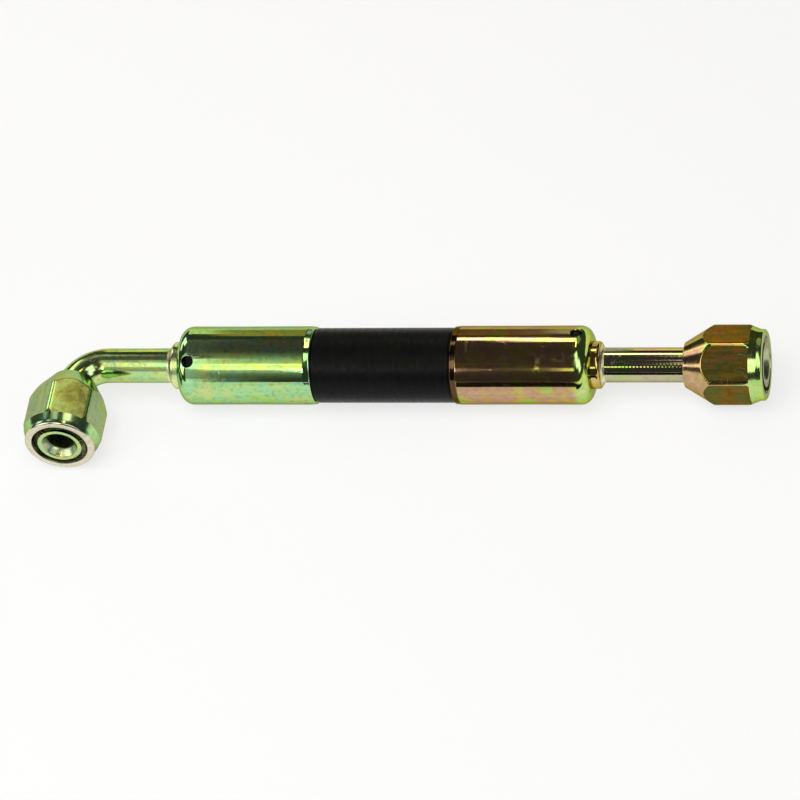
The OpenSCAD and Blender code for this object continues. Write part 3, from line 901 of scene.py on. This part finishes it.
def ferrule_blank():
    rim = FERRULE_LEN
    outside = [(FERRULE_EYE_R, 0), (FERRULE_R, 0)]
    crimp = [(FERRULE_R - CRIMP_DEPTH * math.sin(math.pi * t) ** 2, CRIMP_START + t * CRIMP_LEN)
             for t in [i / CRIMP_STEPS for i in range(CRIMP_STEPS + 1)]]
    drawn_in = [(FERRULE_R, rim - 1.9 * MM), (FERRULE_R, rim - 1.5 * MM), (FERRULE_R - 0.09 * MM, rim - 1.3 * MM),
                (FERRULE_R - 0.12 * MM, rim - 0.35 * MM), (FERRULE_R - 0.22 * MM, rim - 0.1 * MM),
                (FERRULE_R - 0.36 * MM, rim)]
    inside = [(FERRULE_BORE_R, rim), (FERRULE_BORE_R, FERRULE_END), (FERRULE_EYE_R, FERRULE_END)]
    bm = lathe(outside + crimp + drawn_in + inside, CUP_SIDES)
    soften(bm, FERRULE_R, 0, SHOULDER, OUTER_ROUND)
    soften(bm, FERRULE_BORE_R, FERRULE_END, SHOULDER - FERRULE_WALL, INNER_ROUND)
    return bm


print("the crimp is %.3f mm deep in the middle" % (CRIMP_DEPTH / MM))

# %% Drill the witness holes
WITNESS_R = 1.6 * MM
WITNESS_FROM_END = 3.6 * MM
COUNTERSINK = 0.25 * MM
DRILL_SIDES = 48


def witness_drill():
    """A drill that goes right through the ferrule and widens at both ends, which breaks the edges of the holes."""
    reach = FERRULE_R + 1 * MM
    edge = FERRULE_R - COUNTERSINK
    wide = WITNESS_R + reach - edge
    return lathe([(0, -reach), (wide, -reach), (WITNESS_R, -edge), (WITNESS_R, edge), (wide, reach), (0, reach)],
                 DRILL_SIDES)


def cut_witness_holes(piece, move, turn):
    drill = witness_drill()
    aim_drill = (move @ Matrix.Translation((0, 0, COLLAR_LEN + WITNESS_FROM_END))
                 @ Matrix.Rotation(math.radians(turn), 4, "Z") @ Matrix.Rotation(math.radians(90), 4, "Y"))
    bmesh.ops.transform(drill, matrix=aim_drill, verts=drill.verts)
    mesh = bpy.data.meshes.new("drill")
    drill.to_mesh(mesh)
    drill.free()
    tool = bpy.data.objects.new("drill", mesh)
    bpy.context.scene.collection.objects.link(tool)
    cut = piece.modifiers.new("witness holes", "BOOLEAN")
    cut.operation, cut.object, cut.solver = "DIFFERENCE", tool, "EXACT"
    bpy.context.view_layer.update()
    shaped = bpy.data.meshes.new_from_object(piece.evaluated_get(bpy.context.evaluated_depsgraph_get()))
    piece.modifiers.clear()
    old, piece.data = piece.data, shaped
    bpy.data.meshes.remove(old)
    bpy.data.objects.remove(tool)
    piece.data.set_sharp_from_angle(angle=math.radians(SHARP))
    print(piece.name, "with holes", len(piece.data.polygons), "faces")


# %% Make the ferrules
ELBOW_HOLES_TURN = -146
STRAIGHT_HOLES_TURN = 15
for name, solid, material, slot, collar, turn in (
        ("elbow_ferrule_cup", "elbow_ferrule", green_plating, "elbow_plating", at_elbow_collar, ELBOW_HOLES_TURN),
        ("straight_ferrule_cup", "straight_ferrule", gold_plating, "straight_plating", at_straight_collar,
         STRAIGHT_HOLES_TURN)):
    cup = finish_piece(ferrule_blank(), name, "hose_and_ends", solid, material, collar @ along(COLLAR_LEN))
    cut_witness_holes(cup, collar, turn)

# %% [markdown]
# ## Nuts
# A tube nut is turned from hexagon bar. The blank is spun with closely spaced rings, then every point that stands
# outside the hexagon is drawn in to it, which leaves the crescents where the flats run out. The thread is cut the same
# way: each point of the bore moves out by how deep a helical groove is there.

# %% Sizes of a nut
NUT_AF = 19.05 * MM
NUT_LEN = 22 * MM
BLANK_R = NUT_AF / math.sqrt(3) - 0.1 * MM
NUT_COLLAR_R = 9.7 * MM
CONE_START = 1.4 * MM
FLAT_START = 3.5 * MM
CORNER_START = 4.4 * MM
CORNER_END = 14.2 * MM
TAIL_R = 6.35 * MM
TAIL_START = 21.75 * MM
MOUTH_R = 7.8 * MM
MOUTH_LEN = 1.6 * MM
MOUTH_CHAMFER = 0.06 * MM
THREAD_R = 6.45 * MM
THREAD_START = MOUTH_LEN + MOUTH_R - THREAD_R
THREAD_DEPTH = 0.6 * MM
THREAD_PITCH = 1.411 * MM
SHOULDER_AT = 12.83 * MM
REAR_BORE_R = 5.64 * MM
print("nut %.2f mm across flats and %.0f mm long" % (NUT_AF / MM, NUT_LEN / MM))


# %% Section of a nut
def rings(points, gap):
    """Fills the straight lines between points so that rings stand no further apart than the gap."""
    filled = []
    for (r1, z1), (r2, z2) in zip(points, points[1:]):
        count = max(1, math.ceil(math.hypot(r2 - r1, z2 - z1) / gap))
        filled += [(r1 + (r2 - r1) * i / count, z1 + (z2 - z1) * i / count) for i in range(count)]
    return filled


def nut_section():
    """From the mouth's edge over the face, the collar, the hexagon and the taper, and back through the bore."""
    root = (NUT_COLLAR_R + 0.02 * MM, 1.45 * MM)
    face = [(MOUTH_R + MOUTH_CHAMFER, 0), (9.2 * MM, 0), (9.32 * MM, 0.02 * MM), (9.62 * MM, 0.26 * MM),
            (NUT_COLLAR_R, 0.42 * MM), (NUT_COLLAR_R, 1.32 * MM), root]
    crest = NUT_COLLAR_R + (BLANK_R - NUT_COLLAR_R) * (FLAT_START - CONE_START) / (CORNER_START - CONE_START)
    cone = rings([root, (crest, FLAT_START)], 0.3 * MM) + [(crest, FLAT_START)]
    step = rings([(crest + 0.005 * MM, FLAT_START + 0.01 * MM), (BLANK_R, CORNER_START)], 0.15 * MM)
    body = rings([(BLANK_R, CORNER_START), (BLANK_R, CORNER_END)], 0.6 * MM)
    taper = rings([(BLANK_R, CORNER_END), (TAIL_R, TAIL_START)], 0.17 * MM)
    tail = [(TAIL_R, TAIL_START), (6.28 * MM, 21.92 * MM), (6.12 * MM, NUT_LEN), (5.9 * MM, NUT_LEN)]
    hole = [(REAR_BORE_R, TAIL_START), (REAR_BORE_R, SHOULDER_AT), (THREAD_R, SHOULDER_AT)]
    thread = rings([(THREAD_R, SHOULDER_AT - 0.2 * MM), (THREAD_R, THREAD_START)], 0.141 * MM)
    mouth = [(THREAD_R, THREAD_START), (MOUTH_R, MOUTH_LEN), (MOUTH_R, MOUTH_CHAMFER)]
    return face + cone + step + body + taper + tail + hole + thread + mouth


print("points in a nut's section:", len(nut_section()))

# %% Cut the hexagon and the thread
SIXTH = math.radians(60)
THREAD_END = SHOULDER_AT - 0.4 * MM
BAR_R = max(THREAD_R + 0.05 * MM, REAR_BORE_R + 0.4 * MM)
BAR_START = FLAT_START + 0.005 * MM
ON_THREAD = 0.01 * MM
GROOVE_SIDES = 1.25


def draw_in(value, limit, blur=0.05 * MM):
    """The smaller of two numbers, with a soft change from one to the other."""
    gap = max(blur - abs(value - limit), 0) / blur
    return min(value, limit) - gap * gap * blur / 4


def off_flat(angle):
    """How far an angle lies from the middle of its flat."""
    return angle % SIXTH - SIXTH / 2


def hexagon_and_thread(bm):
    for v in bm.verts:
        radius = math.hypot(v.co.x, v.co.y)
        angle = math.atan2(v.co.y, v.co.x)
        wanted = radius
        if radius > BAR_R and v.co.z > BAR_START:
            wanted = draw_in(radius, NUT_AF / 2 / math.cos(off_flat(angle)))
        elif abs(radius - THREAD_R) < ON_THREAD and THREAD_START < v.co.z < THREAD_END:
            turn = (v.co.z / THREAD_PITCH + angle / TURN) % 1
            wanted = radius + THREAD_DEPTH * max(0, 1 - abs(2 * turn - 1) * GROOVE_SIDES)
        draw_out(v, wanted / radius)


print("thread %.3f mm from turn to turn" % (THREAD_PITCH / MM))

# %% Give each surface of a nut its film
THREAD_SLOT, BROWN_SLOT, PALE_SLOT = 1, 2, 3
UPRIGHT = 0.2
ON_FLAT = 0.03 * MM


def mark_flats(bm, brown_flats):
    """The faces that lie on the bar's flats keep the rolled skin. The flats in brown_flats get the browner film, which
    on the elbow nut is painted shade on the flat that faces up.
    """
    bm.normal_update()
    for face in bm.faces:
        centre = face.calc_center_median()
        angle = math.atan2(centre.y, centre.x)
        out = math.hypot(centre.x, centre.y) * math.cos(off_flat(angle))
        if abs(face.normal.z) < UPRIGHT and abs(out - NUT_AF / 2) < ON_FLAT and centre.z > FLAT_START:
            face.material_index = BROWN_SLOT if angle // SIXTH in brown_flats else PALE_SLOT
        elif face.normal.x * centre.x + face.normal.y * centre.y < 0:
            face.material_index = THREAD_SLOT


print("slots of a nut: turned 0, thread %d, brown flats %d, pale flats %d" % (THREAD_SLOT, BROWN_SLOT, PALE_SLOT))

# %% Make the nuts
NUT_SIDES = 144
NUT_SHARP = 48


def make_nut(name, solid, body, materials, move, turn, brown_flats):
    bm = lathe(nut_section(), NUT_SIDES)
    hexagon_and_thread(bm)
    bmesh.ops.recalc_face_normals(bm, faces=bm.faces)
    mark_flats(bm, brown_flats)
    move = move @ Matrix.Rotation(math.radians(turn), 4, "Z")
    piece = finish_piece(bm, name, body, solid, materials[0], move, sharp=NUT_SHARP)
    for material in materials[1:]:
        piece.data.materials.append(material)


# On the elbow nut only the flat that faces up takes the darker film, which is painted shade.
make_nut("elbow_nut_turned", "elbow_nut", "elbow_nut",
         (green_nut_plating, thread_plating, green_rolled, pale_rolled), at_outlet_face, 20, {-2})
make_nut("straight_nut_turned", "straight_nut", "straight_nut",
         (gold_nut_plating, thread_plating, gold_rolled), at_straight_face, -69, range(-3, 3))

# %% [markdown]
# ## Braze fillets
# Where a tube enters its collar, molten brass is drawn into the joint and freezes as a hollow fillet. It is spun like
# the rest, and its skin is made slightly lumpy, because no two places froze at the same moment.

# %% Make the braze fillets
BRAZE_LEG = 1.1 * MM
BRAZE_GAP = 0.01 * MM
BRAZE_R = TUBE_R + BRAZE_GAP
LUMP_DEPTH = 0.06 * MM
LUMP_SCALE = 700
ROUND_SIDES = 120


def braze_fillet(name, solid, move):
    hollow = [(BRAZE_R + BRAZE_LEG * (1 - math.sin(t)), -BRAZE_GAP - BRAZE_LEG * (1 - math.cos(t)))
              for t in [math.pi / 2 * (0.06 + 0.88 * i / 10) for i in range(11)]]
    bm = lathe([(BRAZE_R, -BRAZE_GAP), (BRAZE_R + BRAZE_LEG, -BRAZE_GAP)] + hollow
               + [(BRAZE_R, -BRAZE_GAP - BRAZE_LEG)], ROUND_SIDES)
    for v in bm.verts:
        radius = math.hypot(v.co.x, v.co.y)
        if radius > BRAZE_R + 0.05 * MM and v.co.z < -0.1 * MM:
            draw_out(v, 1 - LUMP_DEPTH / radius * (1 + noise.noise(v.co * LUMP_SCALE)))
    finish_piece(bm, name, "hose_and_ends", solid, braze_metal, move)


braze_fillet("elbow_braze_fillet", "elbow_braze", at_elbow_collar)
braze_fillet("straight_braze_fillet", "straight_braze", at_straight_collar)

# %% [markdown]
# ## Hose cover
# The cover is the rubber skin of the hose. Under the ferrules it is pressed in, and between them it swells to full
# size. The cloth tape that held it while it cured has left fine rings that wander slightly as they go round.

# %% Section of the cover
cover_low, cover_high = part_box("hose_cover")
COVER_R = (cover_high.z - cover_low.z) / 2
COVER_LEN = cover_high.x - cover_low.x
COVER_BORE_R = 8.76 * MM
COVER_END_R = 9.06 * MM
PRESSED_R = COVER_R - 0.45 * MM
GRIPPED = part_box("elbow_ferrule")[1].x - cover_low.x
FREE_END = COVER_LEN - GRIPPED
SWELL = 0.8 * MM
CHAMFER = 1.0 * MM
RING_GAP = 0.16 * MM


def cover_section():
    near = [(COVER_END_R, 0), (PRESSED_R, CHAMFER), (PRESSED_R, GRIPPED)]
    free = rings([(PRESSED_R, GRIPPED), (COVER_R, GRIPPED + SWELL), (COVER_R, FREE_END - SWELL),
                  (PRESSED_R, FREE_END)], RING_GAP)
    far = [(PRESSED_R, FREE_END), (PRESSED_R, COVER_LEN - CHAMFER), (COVER_END_R, COVER_LEN)]
    return near + free[1:] + far + [(COVER_BORE_R, COVER_LEN), (COVER_BORE_R, 0)]


print("free hose %.1f mm long and %.1f mm across" % ((FREE_END - GRIPPED) / MM, 2 * COVER_R / MM))

# %% Press the tape marks
TAPE_PITCH = 2.3 * MM
LAP_DEPTH = 0.045 * MM
WEAVE_DEPTH = 0.04 * MM


def noise_round(angle, reach, along_axis):
    """Noise that closes on itself round the hose."""
    return noise.noise(Vector((math.cos(angle) * reach, math.sin(angle) * reach, along_axis)))


def press_tape_marks(bm):
    for v in bm.verts:
        radius = math.hypot(v.co.x, v.co.y)
        if radius < PRESSED_R + 0.02 * MM:
            continue
        angle = math.atan2(v.co.y, v.co.x)
        wander = noise_round(angle, 1.5, v.co.z * 60)
        lap = abs(((v.co.z / TAPE_PITCH - angle / TURN + 0.35 * wander) % 1) * 2 - 1)
        weave = 0.5 + 0.5 * noise_round(angle, 2, v.co.z * 1800)
        drop = LAP_DEPTH * lap ** 6 + WEAVE_DEPTH * weave
        draw_out(v, 1 - drop / radius)


print("tape %.1f mm from turn to turn" % (TAPE_PITCH / MM))

# %% Make the hose cover
at_hose_start = place(cover_low.x, axis_y, 90, "Y")
cover = lathe(cover_section(), ROUND_SIDES)
press_tape_marks(cover)
finish_piece(cover, "hose_cover_wrapped", "hose_and_ends", "hose_cover", cover_rubber, at_hose_start)

# %% [markdown]
# ## Finishes for the solids that stay
# The stems, the sleeves and the hose's inner layers have the right shape already, so they only get their finish.

# %% Dress the solids
def dress(material, *nodes):
    for name in nodes:
        for place_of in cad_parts[name].material_slots:
            place_of.material = material
    print(material.name, "on", ", ".join(nodes))


dress(green_collar, "elbow_stem")
dress(gold_collar, "straight_stem")
dress(sleeve_plating, "elbow_sleeve", "straight_sleeve")
dress(inner_rubber, "hose_inner_tube", "hose_gum_ply_1", "hose_gum_ply_2", "hose_gum_ply_3")
dress(brassed_wire, "hose_wire_ply_1", "hose_wire_ply_2", "hose_wire_ply_3", "hose_wire_ply_4")

# %% [markdown]
# ## Both boxes are kept, and how far the dressed model reaches past the solids' box is printed.
# The dressed model has to stay in the box of the solids, so both boxes are kept.

# %% Growth past the solids' box
made_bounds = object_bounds()
growth = [[round((m - c) / MM, 3) for m, c in zip(made, cad)] for made, cad in zip(made_bounds, cad_bounds)]
print("grown by", growth)
